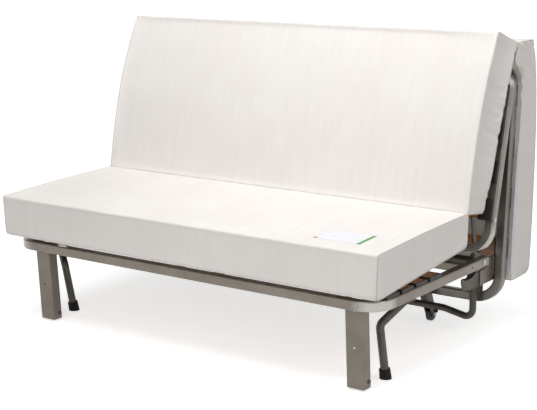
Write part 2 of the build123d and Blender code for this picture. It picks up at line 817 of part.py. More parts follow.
def hoop_bolt():
    """The bolt through the hanger and the hoop, with a nut inside and a collar between."""
    inner = hoop_place - hoop_diameter / 2
    outer = hanger_place + hanger_thickness + washer_gap
    shank = x_rod(hoop_pivot, pivot_radius, inner, outer)
    head = x_rod(hoop_pivot, pivot_head_radius, outer, outer + pivot_head_height / 2)
    nut = x_rod(hoop_pivot, pivot_head_radius, inner - pivot_head_height, inner)
    collar_start = hoop_place + hoop_diameter / 2
    collar = x_rod(hoop_pivot, pivot_head_radius - tube_wall, collar_start, hanger_place - washer_gap)
    return shank + head + nut + collar


def hanger_outline():
    """The web's outline, from the flange over the pivot's lobe to the nose."""
    top, lobe, nose = rail_bottom_height, hanger_lobe_radius, hanger_nose_radius
    y, z = hoop_pivot
    nose_y, nose_z = hanger_nose
    face = make_face(Polyline(
        (rail_rear - hanger_flange_length + nose, top), (rail_rear, top),
        (rail_rear + nose, top - hanger_neck / 2),
        (y + lobe, z + lobe / 2), (y + lobe, z - lobe / 2),
        (y + lobe / 2, z - lobe), (y - lobe / 2, z - lobe),
        (nose_y + lobe, nose_z - lobe), (nose_y, nose_z - nose), (nose_y - nose / 2, nose_z + nose),
        (nose_y + nose, nose_z), (nose_y + lobe + nose, nose_z + nose / 2), close=True,
    ))
    return fillet(face.vertices(), nose / 3)


def leg_hanger():
    """A pressed plate under the rail's rear end: a flange, a web with a nose, and the hoop's pivot eye."""
    web = across(hanger_outline(), hanger_place, hanger_place + hanger_thickness)
    width = frame_half - hanger_place
    flange = Box(width, hanger_flange_length, channel_wall)
    flange_middle = rail_bottom_height - channel_wall / 2
    plate = web + Pos(hanger_place + width / 2, rail_rear - hanger_flange_length / 2, flange_middle) * flange
    hole = pivot_radius + running_clearance
    plate = plate - x_rod(hoop_pivot, hole, hanger_place - overrun, hanger_place + 2 * hanger_thickness)
    return plate + stop_lug()


def stop_lug():
    """The lug behind the hoop's upright that keeps the leg from swinging rearwards."""
    front = hoop_pivot[0] + hoop_diameter / 2 + slat_clearance
    low = hoop_pivot[1] - stop_drop - stop_radius
    high = low + 2 * stop_radius + hoop_diameter / 2
    rear = front + 2 * stop_radius
    tab = Polyline((front, low), (rear, low), (rear, high), (front, high), close=True)
    return across(make_face(tab), hoop_place - hoop_diameter / 4, hanger_place + hanger_thickness)


# Castors

def castor_bracket():
    """A pressed channel, sloping from the hoop's bar down to the wheel axle."""
    head_half, foot_half = bracket_head_width / 2, bracket_foot_width / 2
    slope = degrees(atan2(castor_centre[0] - bracket_head[0], bracket_head[1] - castor_centre[1]))
    right, left = 90 - slope, 270 - slope
    points = [
        polar(bracket_head, left, head_half), polar(bracket_head, right, head_half),
        polar(castor_centre, right, foot_half), polar(castor_centre, left, foot_half),
    ]
    side = fillet(make_face(Polyline(*points, close=True)).vertices(), bracket_flare)
    side = side + Pos(*castor_centre) * Circle(foot_half)
    inner = castor_width / 2 + wheel_gap
    outer = inner + bracket_wall
    web_end = between(bracket_head, castor_centre, bracket_web_share)
    web_points = [
        points[0], polar(points[0], right, bracket_wall),
        polar(web_end, left, head_half - bracket_wall), polar(web_end, left, head_half),
    ]
    web = make_face(Polyline(*web_points, close=True))
    bracket = across(web, castor_place - outer, castor_place + outer)
    bracket = bracket + across(side, castor_place + inner, castor_place + outer)
    bracket = bracket + across(side, castor_place - outer, castor_place - inner)
    low, high = castor_place - bracket_head_width, castor_place + bracket_head_width
    bracket = bracket - x_rod(hoop_bar, hoop_diameter / 2, low, high)
    return bracket - x_rod(castor_centre, axle_radius + axle_clearance, low, high)


def hoop_bumper():
    """A rubber bumper pressed under the hoop's raised bar."""
    top = hoop_bar_height - hoop_diameter / 2 + channel_wall
    middle = Pos(bumper_place, hoop_pivot[0], top - bumper_height / 2)
    stud = middle * Cylinder(bumper_radius, bumper_height)
    reach = bumper_radius + overrun
    return stud - x_rod(hoop_bar, hoop_diameter / 2, bumper_place - reach, bumper_place + reach)


# The whole sofa bed

def both(name, shape):
    return {f"{name}_right": shape, f"{name}_left": mirrored(shape)}


def pair(name, shape):
    return {name: Compound(children=[shape, mirrored(shape)])}


def seat_nodes(slats):
    nodes = {"mattress_seat": seat_block(), "seat_frame": seat_frame(), "seat_cross_bar": seat_cross_bar()}
    nodes["rail_plugs"] = Compound(children=[rail_plug(-1), rail_plug(1)])
    nodes.update(slat_set(seat_plane, frame_half, tube_size, seat_slat_bow, slats, "seat"))
    nodes.update(both("front_leg", front_leg()))
    front_wheel = wheel(wheel_centre, channel_middle, wheel_radius, wheel_width, wheel_groove)
    nodes.update(both("front_wheel", front_wheel))
    inside = channel_width - 2 * channel_wall
    nodes.update(pair("front_wheel_axles", axle(wheel_centre, channel_middle, inside, channel_wall)))
    nodes["leg_bolts"] = Compound(children=leg_bolts())
    nodes.update(both("stay_leg", stay_leg()))
    nodes.update(both("stay_tip", stay_tip()))
    nodes.update(both("leg_hanger", leg_hanger()))
    nodes.update(pair("hoop_bolts", hoop_bolt()))
    return nodes


def link_nodes():
    nodes = both("link_arm", link_arm())
    nodes["link_shaft"] = link_shaft()
    nodes.update(pair("seat_pivot_bolts", pivot_bolt(link_foot, frame_half)))
    nodes.update(pair("seat_pivot_spacers", seat_spacer()))
    nodes.update(pair("back_pivot_bolts", back_pivot_bolt()))
    return nodes


def back_nodes(slats):
    nodes = {"mattress_back": back_block(), "back_frame": back_frame()}
    nodes.update(slat_set(back_plane, back_frame_half, back_tube_size, back_slat_bow, slats, "back"))
    nodes.update(pair("back_hinge_ears", back_ear()))
    return nodes


def rear_nodes(slats):
    nodes = {"mattress_rear": rear_block(), "rear_frame": rear_frame()}
    nodes.update(slat_set(rear_plane, frame_half, tube_size, rear_slat_bow, slats, "rear"))
    nodes.update(pair("rear_hinge_ears", rear_ear()))
    nodes.update(pair("hinge_pins", hinge_pin()))
    nodes.update(both("far_foot", far_foot()))
    nodes.update(both("far_shoe", far_shoe()))
    nodes["far_foot_bolts"] = Compound(children=far_bolts())
    return nodes


def leg_nodes():
    nodes = {"hoop_leg": hoop_leg()}
    nodes.update(both("castor_bracket", castor_bracket()))
    castor_wheel = wheel(castor_centre, castor_place, castor_radius, castor_width, castor_groove)
    nodes.update(both("castor_wheel", castor_wheel))
    inside = castor_width + 2 * wheel_gap
    nodes.update(pair("castor_axles", axle(castor_centre, castor_place, inside, bracket_wall)))
    nodes.update(pair("hoop_bumpers", hoop_bumper()))
    return nodes


seat_slats, back_slats, rear_slats = slat_places()
nodes = {**seat_nodes(seat_slats), **link_nodes(), **leg_nodes()}
nodes.update(back_nodes(back_slats))
nodes.update(rear_nodes(rear_slats))
boxes = [shape.bounding_box() for shape in nodes.values()]
centre_depth = (min(box.min.Y for box in boxes) + max(box.max.Y for box in boxes)) / 2
os.makedirs("parts", exist_ok=True)
for name, shape in nodes.items():
    export_step(Pos(0, -centre_depth, 0) * shape, f"parts/{name}.step")
print("nodes", len(nodes), "centre depth", round(centre_depth, 3))
pivots = {
    "seat link": link_foot, "back link": link_head, "top hinge": top_hinge,
    "hoop": hoop_pivot, "front wheel": wheel_centre, "castor": castor_centre,
}
for label, (y, z) in pivots.items():
    print(label, round(y - centre_depth, 3), round(z, 3))
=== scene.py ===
import math
import bpy
import numpy as np
from mathutils import Matrix, Vector


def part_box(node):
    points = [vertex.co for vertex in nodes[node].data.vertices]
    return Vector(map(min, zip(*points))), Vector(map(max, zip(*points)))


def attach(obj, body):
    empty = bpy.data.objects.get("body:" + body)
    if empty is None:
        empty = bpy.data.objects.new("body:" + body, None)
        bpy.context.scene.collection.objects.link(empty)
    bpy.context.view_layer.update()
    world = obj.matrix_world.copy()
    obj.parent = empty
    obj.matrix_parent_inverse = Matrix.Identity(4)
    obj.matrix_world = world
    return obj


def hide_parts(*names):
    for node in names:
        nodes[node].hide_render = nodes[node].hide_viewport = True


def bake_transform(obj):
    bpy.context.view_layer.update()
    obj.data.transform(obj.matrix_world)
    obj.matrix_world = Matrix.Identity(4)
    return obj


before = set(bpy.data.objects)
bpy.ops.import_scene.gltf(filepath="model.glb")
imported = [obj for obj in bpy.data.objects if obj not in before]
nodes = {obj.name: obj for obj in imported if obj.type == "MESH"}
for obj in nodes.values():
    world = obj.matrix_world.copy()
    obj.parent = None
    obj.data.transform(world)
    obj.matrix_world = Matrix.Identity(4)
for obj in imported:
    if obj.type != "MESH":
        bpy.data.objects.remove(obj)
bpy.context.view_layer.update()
print("frame loaded:", len(nodes), "nodes")

# a sofa bed in its sofa position: the covers' depths and heights are written in mm, as in a side view
mm = 0.001
railSetBack = 22 * mm  # the front rail stands this far behind the seat block's front face
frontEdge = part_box("seat_frame")[0].y - railSetBack  # depths are counted from that face
tiny = 1e-6


# Materials

def linearColour(code):
    # sRGB hex to linear light: each channel over 12.92 when dark, else the 2.4 power curve
    channels = [int(code[i:i + 2], 16) / 255 for i in (1, 3, 5)]
    return [c / 12.92 if c < 0.04045 else ((c + 0.055) / 1.055) ** 2.4 for c in channels] + [1.0]


def emptied(owner):
    # a material or world with its node tree cleared
    owner.use_nodes = True
    owner.node_tree.nodes.clear()
    return owner


def addNode(owner, kind, inputs=None, stops=None, **settings):
    # one shader node with its settings, its values or links by socket name, and its ramp colours
    made = owner.node_tree.nodes.new("ShaderNode" + kind)
    for key, value in settings.items():
        setattr(made, key, value)
    for key, value in (inputs or {}).items():
        if isinstance(value, bpy.types.NodeSocket):
            owner.node_tree.links.new(value, made.inputs[key])
        else:
            made.inputs[key].default_value = value
    for index, (place, code) in enumerate(stops or ()):
        ramp = made.color_ramp.elements
        stop = ramp[index] if index < 2 else ramp.new(place)
        stop.position = place
        stop.color = linearColour(code)
    return made


cloths = {
    "coverCottonKnit": {"pale": "#F2EEEA", "shade": "#EDE8E4", "roughness": 0.86},
    "weltCottonTape": {"pale": "#DAD6D1", "shade": "#CDC9C4", "roughness": 0.8},
    "liningNonwoven": {"pale": "#E9E5EE", "shade": "#DCD7E2", "roughness": 0.9},
}
knit = {
    "rib": 8.29 * mm,  # a real rib is about 2 mm wide, drawn four times as coarse so that it shows
    "streak": 14 * mm, "streakLength": 12,  # a streak's width, and how many times as long it is
    "cloud": 200 * mm,
    "fibre": 2.381 * mm,  # real fibres are far finer, drawn this coarse so that they show
    "fibreShare": 0.4, "relief": 0.6 * mm,
}
waveTurn = 20  # radians that Blender's wave texture turns in one unit of its scale


def makeCloth(name):
    # cotton jersey, circular knitted with fine ribs: a soft matt cloth with faint streaks along the knit
    look = cloths[name]
    material = emptied(bpy.data.materials.new(name))
    ribWay = addNode(material, "Attribute", attribute_name="ribWay").outputs["Vector"]
    place = addNode(material, "TexCoord").outputs["Object"]
    # streaks: a noise drawn out along the ribs, times a cloudy one
    drawnOut = 1 / (knit["streakLength"] * knit["streak"])
    stretched = addNode(material, "Mapping", {
        "Vector": ribWay, "Scale": (1 / knit["streak"], drawnOut, drawnOut),
    })
    streaks = addNode(material, "TexNoise", {
        "Vector": stretched.outputs[0], "Scale": 1.0, "Detail": 3.0, "Roughness": 0.6,
    })
    cloudy = addNode(material, "TexNoise", {"Vector": place, "Scale": 1 / knit["cloud"], "Detail": 2.0})
    both = addNode(material, "Math", {
        0: streaks.outputs["Fac"], 1: cloudy.outputs["Fac"],
    }, operation="MULTIPLY")
    stops = ((0.10, look["shade"]), (0.40, look["pale"]))
    tone = addNode(material, "ValToRGB", {"Fac": both.outputs[0]}, stops=stops)
    # ribs: waves across the block, with a fine fibre noise mixed in
    wave = addNode(material, "TexWave", {
        "Vector": ribWay, "Scale": 2 * math.pi / (waveTurn * knit["rib"]), "Distortion": 1.2, "Detail": 2.0,
    }, wave_type="BANDS", bands_direction="X")
    fine = addNode(material, "TexNoise", {"Vector": place, "Scale": 1 / knit["fibre"], "Detail": 2.0})
    height = addNode(material, "Mix", {
        "Factor": knit["fibreShare"], "A": wave.outputs["Fac"], "B": fine.outputs["Fac"],
    }, data_type="FLOAT")
    bump = addNode(material, "Bump", {
        "Strength": 0.3, "Distance": knit["relief"], "Height": height.outputs[0],
    })
    shader = addNode(material, "BsdfPrincipled", {
        "Base Color": tone.outputs[0], "Roughness": look["roughness"], "Specular IOR Level": 0.25,
        "Sheen Weight": 0.1, "Sheen Roughness": 0.5, "Normal": bump.outputs[0],
    })
    addNode(material, "OutputMaterial", {"Surface": shader.outputs[0]})
    return material


coats = {
    # a paler highlight colour is painted on the bends: the axis and the start and end of each fade, in mm
    "railPowderCoatedSteel": {
        "main": "#7C756C", "worn": "#706961", "paintedHighlightColour": "#A6A49F", "roughness": 0.34, "metallic": 0.78,
        "bends": (("Y", -360, -400),),
    },
    "backRailPowderCoatedSteel": {
        "main": "#827F79", "worn": "#75716B", "paintedHighlightColour": "#9E9E99", "roughness": 0.32, "metallic": 0.78,
        "bends": (("Z", 390, 350), ("Z", 780, 800)),
    },
    "rearRailPowderCoatedSteel": {"main": "#7B7872", "worn": "#6E6A64", "roughness": 0.36, "metallic": 0.75},
    "legPowderCoatedSteel": {"main": "#7A7369", "worn": "#6D665C", "roughness": 0.42, "metallic": 0.65},
    "hangerPowderCoatedSteel": {"main": "#5A554D", "worn": "#49453E", "roughness": 0.44, "metallic": 0.6},
}
coatGrain = {
    "peel": 1.923 * mm, "relief": 0.2 * mm,  # orange peel
    "handled": 111.1 * mm, "duller": 0.08, "glossier": 0.05,  # patches from handling, and their roughness
    "outerFrom": 600 * mm, "outerTo": 650 * mm,  # the painted highlight on the bends lies beyond this half width
    "bentRoughness": 0.2,
}


def makeCoat(name):
    # powder coat on drawn steel tube: satin with a fine orange peel, glossier where it is bent, with a paler
    # colour painted there as a highlight
    look = coats[name]
    material = emptied(bpy.data.materials.new(name))
    place = addNode(material, "TexCoord").outputs["Object"]
    peel = addNode(material, "TexNoise", {"Vector": place, "Scale": 1 / coatGrain["peel"], "Detail": 2.0})
    handled = addNode(material, "TexNoise", {
        "Vector": place, "Scale": 1 / coatGrain["handled"], "Detail": 4.0, "Roughness": 0.6,
    }).outputs["Fac"]
    stops = ((0.32, look["worn"]), (0.62, look["main"]))
    tone = addNode(material, "ValToRGB", {"Fac": handled}, stops=stops)
    colour = tone.outputs[0]
    rough = addNode(material, "MapRange", {
        "Value": handled, "To Min": look["roughness"] + coatGrain["duller"],
        "To Max": look["roughness"] - coatGrain["glossier"],
    }).outputs[0]
    if "bends" in look:
        # painted highlight: near the outer sides of the frame, and also past one of the given places
        axes = addNode(material, "SeparateXYZ", {0: place})
        out = addNode(material, "Math", {0: axes.outputs["X"]}, operation="ABSOLUTE")
        outer = addNode(material, "MapRange", {
            "Value": out.outputs[0], "From Min": coatGrain["outerFrom"], "From Max": coatGrain["outerTo"],
        })
        paintedHighlightMask = None
        for axis, start, end in look["bends"]:
            past = addNode(material, "MapRange", {
                "Value": axes.outputs[axis], "From Min": start * mm, "From Max": end * mm,
            })
            corner = addNode(material, "Math", {
                0: outer.outputs[0], 1: past.outputs[0],
            }, operation="MULTIPLY").outputs[0]
            if paintedHighlightMask is not None:
                corner = addNode(material, "Math", {0: paintedHighlightMask, 1: corner}, operation="MAXIMUM").outputs[0]
            paintedHighlightMask = corner
        # the bends' colour is mixed toward a paler grey, a painted highlight
        colour = addNode(material, "Mix", {
            "Factor": paintedHighlightMask, "A": colour, "B": linearColour(look["paintedHighlightColour"]),
        }, data_type="RGBA").outputs["Result"]
        rough = addNode(material, "MapRange", {
            "Value": paintedHighlightMask, "To Min": rough, "To Max": coatGrain["bentRoughness"],
        }).outputs[0]
    bump = addNode(material, "Bump", {
        "Strength": 0.12, "Distance": coatGrain["relief"], "Height": peel.outputs["Fac"],
    })
    shader = addNode(material, "BsdfPrincipled", {
        "Base Color": colour, "Metallic": look["metallic"], "Roughness": rough, "Normal": bump.outputs[0],
    })
    addNode(material, "OutputMaterial", {"Surface": shader.outputs[0]})
    return material


woodLook = {
    "dark": "#7E4A12", "mid": "#A4651C", "light": "#C4842E", "roughness": 0.38,
    "grain": 2.5 * mm, "grainLength": 40,  # a grain line's width, and how many times as long it is
    "board": 166.7 * mm, "boardShare": 0.35, "relief": 0.2 * mm,
}


def makeBeech():
    # laminated beech, sliced, glued in layers and pressed to a bow: honey varnish, fine grain along the slat
    material = emptied(bpy.data.materials.new("slatLaminatedBeech"))
    place = addNode(material, "TexCoord").outputs["Object"]
    across = 1 / woodLook["grain"]
    drawnOut = addNode(material, "Mapping", {
        "Vector": place, "Scale": (across / woodLook["grainLength"], across, across),
    })
    grain = addNode(material, "TexNoise", {
        "Vector": drawnOut.outputs[0], "Scale": 1.0, "Detail": 5.0, "Roughness": 0.65, "Distortion": 0.4,
    })
    board = addNode(material, "TexNoise", {"Vector": place, "Scale": 1 / woodLook["board"], "Detail": 1.0})
    both = addNode(material, "Mix", {
        "Factor": woodLook["boardShare"], "A": grain.outputs["Fac"], "B": board.outputs["Fac"],
    }, data_type="FLOAT")
    stops = ((0.35, woodLook["dark"]), (0.66, woodLook["light"]), (0.5, woodLook["mid"]))
    tone = addNode(material, "ValToRGB", {"Fac": both.outputs[0]}, stops=stops)
    bump = addNode(material, "Bump", {
        "Strength": 0.2, "Distance": woodLook["relief"], "Height": grain.outputs["Fac"],
    })
    shader = addNode(material, "BsdfPrincipled", {
        "Base Color": tone.outputs[0], "Roughness": woodLook["roughness"], "Coat Weight": 0.35,
        "Coat Roughness": 0.2, "Normal": bump.outputs[0],
    })
    addNode(material, "OutputMaterial", {"Surface": shader.outputs[0]})
    return material


mouldings = {
    # grain: a real one is a few tenths of a millimetre, drawn this coarse so that it shows
    "holderPolypropylene": {
        "dark": "#141414", "light": "#222120", "roughness": 0.5, "grain": 1.2 * mm, "specular": 0.45,
    },
    "wheelNylon": {
        "dark": "#161616", "light": "#2A2928", "roughness": 0.42, "grain": 1.0 * mm, "specular": 0.5,
    },
    "tipRubber": {
        "dark": "#121212", "light": "#1E1D1C", "roughness": 0.78, "grain": 0.9 * mm, "specular": 0.3,
    },
}
mouldWear = {"rubbed": 33.33 * mm, "relief": 0.15 * mm}


def makeMoulded(name):
    # moulded polymer: a fine spark-eroded grain, a little paler where it rubs
    look = mouldings[name]
    material = emptied(bpy.data.materials.new(name))
    place = addNode(material, "TexCoord").outputs["Object"]
    fine = addNode(material, "TexNoise", {"Vector": place, "Scale": 1 / look["grain"], "Detail": 3.0})
    rubbed = addNode(material, "TexNoise", {"Vector": place, "Scale": 1 / mouldWear["rubbed"], "Detail": 3.0})
    stops = ((0.4, look["dark"]), (0.7, look["light"]))
    tone = addNode(material, "ValToRGB", {"Fac": rubbed.outputs["Fac"]}, stops=stops)
    bump = addNode(material, "Bump", {
        "Strength": 0.25, "Distance": mouldWear["relief"], "Height": fine.outputs["Fac"],
    })
    shader = addNode(material, "BsdfPrincipled", {
        "Base Color": tone.outputs[0], "Roughness": look["roughness"], "Specular IOR Level": look["specular"],
        "Normal": bump.outputs[0],
    })
    addNode(material, "OutputMaterial", {"Surface": shader.outputs[0]})
    return material


zincLook = {
    "dark": "#8F9192", "light": "#A9ABAB", "roughness": 0.32,
    "turning": 1.4286 * mm,  # real turning lines are finer, drawn this coarse so that they show
    "spangle": 3.846 * mm, "relief": 0.1 * mm,
}


def makeZinc():
    # bright zinc plate over turned steel: a clean cool metal with faint turning lines
    material = emptied(bpy.data.materials.new("fixingsZincPlatedSteel"))
    place = addNode(material, "TexCoord").outputs["Object"]
    turned = addNode(material, "TexNoise", {"Vector": place, "Scale": 1 / zincLook["turning"], "Detail": 2.0})
    spangle = addNode(material, "TexVoronoi", {"Vector": place, "Scale": 1 / zincLook["spangle"]})
    stops = ((0.1, zincLook["dark"]), (0.8, zincLook["light"]))
    tone = addNode(material, "ValToRGB", {"Fac": spangle.outputs["Distance"]}, stops=stops)
    bump = addNode(material, "Bump", {
        "Strength": 0.15, "Distance": zincLook["relief"], "Height": turned.outputs["Fac"],
    })
    shader = addNode(material, "BsdfPrincipled", {
        "Base Color": tone.outputs[0], "Metallic": 1.0, "Roughness": zincLook["roughness"],
        "Normal": bump.outputs[0],
    })
    addNode(material, "OutputMaterial", {"Surface": shader.outputs[0]})
    return material


cover, weltTape, lining = (makeCloth(name) for name in cloths)
railCoat, backCoat, rearCoat, legCoat, darkCoat = (makeCoat(name) for name in coats)
beech = makeBeech()
blackPlastic, wheelPlastic, rubber = (makeMoulded(name) for name in mouldings)
zinc = makeZinc()
print("materials made")


# Finishes of the frame's own parts

finishes = {
    "seat_frame": railCoat, "back_frame": backCoat, "rear_frame": rearCoat, "seat_cross_bar": railCoat,
    "back_hinge_ears": backCoat, "rear_hinge_ears": backCoat, "link_arm": darkCoat, "link_shaft": darkCoat,
    "far_foot": legCoat, "far_shoe": darkCoat, "front_leg": legCoat, "stay_leg": darkCoat,
    "hoop_leg": darkCoat, "leg_hanger": darkCoat, "castor_bracket": darkCoat, "stay_tip": rubber,
    "hoop_bumpers": rubber, "front_wheel": wheelPlastic, "castor_wheel": wheelPlastic,
    "rail_plugs": blackPlastic, "seat_pivot_spacers": blackPlastic,
    "seat_slat": beech, "back_slat": beech, "rear_slat": beech,
    "seat_slat_holders": blackPlastic, "back_slat_holders": blackPlastic, "rear_slat_holders": blackPlastic,
    "leg_bolts": zinc, "seat_pivot_bolts": zinc, "back_pivot_bolts": zinc, "far_foot_bolts": zinc,
    "hoop_bolts": zinc, "hinge_pins": zinc, "front_wheel_axles": darkCoat, "castor_axles": zinc,
}
# points nearer than this are joined, and an edge that turns by more degrees than this stays sharp
edges = {"weld": 0.01 * mm, "sharpFrom": 32}


def dressNode(name, piece):
    # the longest name that starts the node's name gives its finish
    finish = finishes[max((key for key in finishes if name.startswith(key)), key=len)]
    piece.data.materials.clear()
    piece.data.materials.append(finish)
    piece.data.polygons.foreach_set("use_smooth", np.ones(len(piece.data.polygons), bool))
    weld = piece.modifiers.new("weld", "WELD")
    weld.merge_threshold = edges["weld"]
    split = piece.modifiers.new("sharpEdges", "EDGE_SPLIT")
    split.split_angle = math.radians(edges["sharpFrom"])


for name, piece in nodes.items():
    if not name.startswith("mattress"):
        dressNode(name, piece)
print("frame parts dressed")


# Foam blocks in their covers

blocks = {
    # front, crown, rear: the sides in the side view, depth and height in mm, from the foot up and over
    # rest: the side that lies on the slats
    # rounding: the radii of the section's corners, first the two on the rest, then the two on the crown
    # ends: the radii of the end edges, rest and crown
    # flare: how far the cover bulges at each end over what lies behind it, along a bell on its rest
    "seatCushion": {
        "node": "mattress_seat", "body": "seat_section",
        "front": ((-1, 284.5), (-1, 415.2)),
        "crown": ((-1, 415.2), (255, 429.0), (510.4, 437.2)),
        "rear": ((517.5, 332.0), (510.4, 437.2)),
        "rest": ((-1, 284.5), (517.5, 332.0)),
        "rounding": ((16, 15), (6, 5)), "ends": (18, 6),
    },
    "backCushion": {
        "node": "mattress_back", "body": "back_section",
        "front": ((614.0, 416.2), (509.4, 434.2)),
        "crown": ((509.4, 434.2), (535.0, 576.0), (567.7, 703.5), (613.5, 829.0), (672.0, 956.4)),
        "rear": ((797.2, 916.3), (672.0, 956.4)),
        "rest": (
            (614.0, 416.2), (634.0, 510.0), (658.8, 613.9), (690.0, 708.0), (726.7, 803.8), (751.2, 860.8),
            (797.2, 916.3),
        ),
        "rounding": ((17, 5), (5, 6)), "ends": (12, 6),
        "flare": {
            "from": 655, "fade": 40, "middle": 0.55, "reach": 0.44, "power": 6, "through": 0.45,
            "push": (9, -2), "out": 12,
        },
    },
    "rearCushion": {
        "node": "mattress_rear", "body": "rear_section",
        "front": ((815.2, 913.3), (921.5, 919.3)),
        "crown": (
            (921.5, 919.3), (945.5, 830.0), (962.5, 700.0), (969.0, 540.0), (968.0, 380.0), (960.3, 162.5),
        ),
        "rear": ((816.8, 162.5), (960.3, 162.5)),
        "rest": (
            (815.2, 913.3), (836.0, 877.0), (857.1, 842.0), (852.0, 770.0), (836.0, 500.0), (816.8, 162.5),
        ),
        "rounding": ((5, 14), (13, 34)), "ends": (12, 9),
        "flare": {
            "from": 652, "fade": 14, "middle": 0.08, "reach": 0.05, "power": 2, "through": 0.6,
            "push": (-52, -6), "out": 0,
        },
    },
}
foam = {
    "width": 1405 * mm, "stepAcross": 16 * mm, "step": 9 * mm, "fill": 0.9,
    "turnShares": (0.0, 0.06, 0.13, 0.29, 0.5, 0.75),  # rows of points over a rounded edge
    "endTouch": 1e-4,  # share of the width that still counts as the flat end
}
swell = {
    "frames": 20, "pressure": 4.0, "quality": 4, "stiffness": 12, "bending": 2,
    "crownCap": 5 * mm, "sideCap": 1.5 * mm,  # the furthest that a point may move
}


def boxSkin(counts):
    # the skin of a box of cells: every lattice point with a first or last index, and its squares
    lattice = np.stack(np.meshgrid(*[np.arange(count) for count in counts], indexing="ij"), -1).reshape(-1, 3)
    onSkin = ((lattice == 0) | (lattice == np.array(counts) - 1)).any(1)
    number = np.full(len(lattice), -1)
    number[onSkin] = np.arange(onSkin.sum())
    number = number.reshape(counts)
    faces = []
    for axis in range(3):
        for end in (0, -1):
            side = np.take(number, end, axis)
            quads = np.stack([side[:-1, :-1], side[1:, :-1], side[1:, 1:], side[:-1, 1:]], -1).reshape(-1, 4)
            faces.append(quads if (axis == 1) == (end == 0) else quads[:, ::-1])
    return number, lattice[onSkin], np.concatenate(faces)


def stepsAlong(length, step, reach):
    # places along one side of a box: close together over the rounded ends, then even steps of length
    turn = reach * np.array(foam["turnShares"])
    middle = np.linspace(reach, length - reach, max(2, round((length - 2 * reach) / step)) + 1)
    return np.concatenate([turn, middle, length - turn[::-1]])


def eased(share):
    # three times the square less twice the cube: level at both ends
    return share * share * (3 - 2 * share)


def roundedBox(size, spec):
    # points outside the core box are drawn onto an ellipsoid about it, whose radii change between corners
    rounding = np.array(spec["rounding"]) * mm
    ends = np.array(spec["ends"]) * mm
    steps = (foam["step"], foam["stepAcross"], foam["step"])
    reaches = (rounding.max(), ends.max(), rounding.max())
    places = [stepsAlong(*each) for each in zip(size, steps, reaches)]
    number, lattice, faces = boxSkin([len(place) for place in places])
    point = np.column_stack([places[axis][lattice[:, axis]] for axis in range(3)])
    along = eased(point[:, 0] / size[0])
    through = eased(point[:, 2] / size[2])
    section = (1 - through) * ((1 - along) * rounding[0, 0] + along * rounding[0, 1])
    section += through * ((1 - along) * rounding[1, 0] + along * rounding[1, 1])
    radius = np.column_stack([section, (1 - through) * ends[0] + through * ends[1], section])
    away = (point - np.clip(point, radius, size - radius)) / radius
    far = np.linalg.norm(away, axis=1, keepdims=True)
    rounded = point - away * radius * (1 - 1 / np.maximum(far, 1))
    # sewn: the rounded edges and the whole rest; crown: the side that people sit on or lean against
    sewn = ((np.abs(away) > tiny).sum(1) > 1) | (lattice[:, 2] == 0)
    crown = lattice[:, 2] == lattice[:, 2].max()
    return rounded, number, faces, sewn, crown


def sideLine(points, share):
    # a cubic between each two of the points, whose slope at a point is the mean of the runs beside it
    points = np.array(points, float) * mm
    reach = np.concatenate([[0], np.cumsum(np.linalg.norm(np.diff(points, axis=0), axis=1))])
    if len(points) > 2:
        slope = np.gradient(points, reach, axis=0)
    else:
        slope = np.tile((points[1] - points[0]) / reach[1], (2, 1))
    place = np.asarray(share) * reach[-1]
    left = np.clip(np.searchsorted(reach, place) - 1, 0, len(points) - 2)
    run = (reach[left + 1] - reach[left])[:, None]
    t = (place[:, None] - reach[left][:, None]) / run
    line = (2 * t ** 3 - 3 * t ** 2 + 1) * points[left] + (3 * t ** 2 - 2 * t ** 3) * points[left + 1]
    return line + run * ((t ** 3 - 2 * t ** 2 + t) * slope[left] + (t ** 3 - t ** 2) * slope[left + 1])


def lengthOf(points):
    # the sum of the distances from each point to the next: points in mm, length in metres
    return np.linalg.norm(np.diff(np.array(points, float), axis=0), axis=1).sum() * mm


def sizeOf(spec):
    # along, across and through: the mean lengths of the block's opposite sides
    along = (lengthOf(spec["crown"]) + lengthOf(spec["rest"])) / 2
    through = (lengthOf(spec["front"]) + lengthOf(spec["rear"])) / 2
    return np.array([along, foam["width"], through])


def bendToSection(point, size, spec):
    # the four sides' lines blended across each other, less the four corners blended
    u, w = point[:, 0] / size[0], point[:, 2] / size[2]
    uu, ww = u[:, None], w[:, None]
    restStart, restEnd = np.array(spec["rest"][0]) * mm, np.array(spec["rest"][-1]) * mm
    crownStart, crownEnd = np.array(spec["crown"][0]) * mm, np.array(spec["crown"][-1]) * mm
    flat = (1 - ww) * sideLine(spec["rest"], u) + ww * sideLine(spec["crown"], u)
    flat += (1 - uu) * sideLine(spec["front"], w) + uu * sideLine(spec["rear"], w)
    flat -= (1 - uu) * ((1 - ww) * restStart + ww * crownStart)
    flat -= uu * ((1 - ww) * restEnd + ww * crownEnd)
    across = point[:, 1] - size[1] / 2
    if "flare" in spec:
        # near the ends, a bell along the block that fades with the square of the way through it
        flare = spec["flare"]
        near = eased(np.clip((np.abs(across) / mm - flare["from"]) / flare["fade"], 0, 1))
        bell = np.exp(-np.abs((u - flare["middle"]) / flare["reach"]) ** flare["power"])
        bulge = near * (bell * np.clip(1 - w / flare["through"], 0, 1) ** 2)
        flat += bulge[:, None] * np.array(flare["push"]) * mm
        across = across + np.sign(across) * bulge * flare["out"] * mm
    return np.column_stack([across, flat[:, 0] + frontEdge, flat[:, 1]])


def meshPiece(name, points, faces, material):
    # a smooth shaded mesh of these points and faces, in this material
    mesh = bpy.data.meshes.new(name)
    mesh.from_pydata(np.asarray(points).tolist(), [], faces if isinstance(faces, list) else faces.tolist())
    mesh.polygons.foreach_set("use_smooth", np.ones(len(mesh.polygons), bool))
    mesh.materials.append(material)
    mesh.update()
    piece = bpy.data.objects.new(name, mesh)
    bpy.context.scene.collection.objects.link(piece)
    return piece


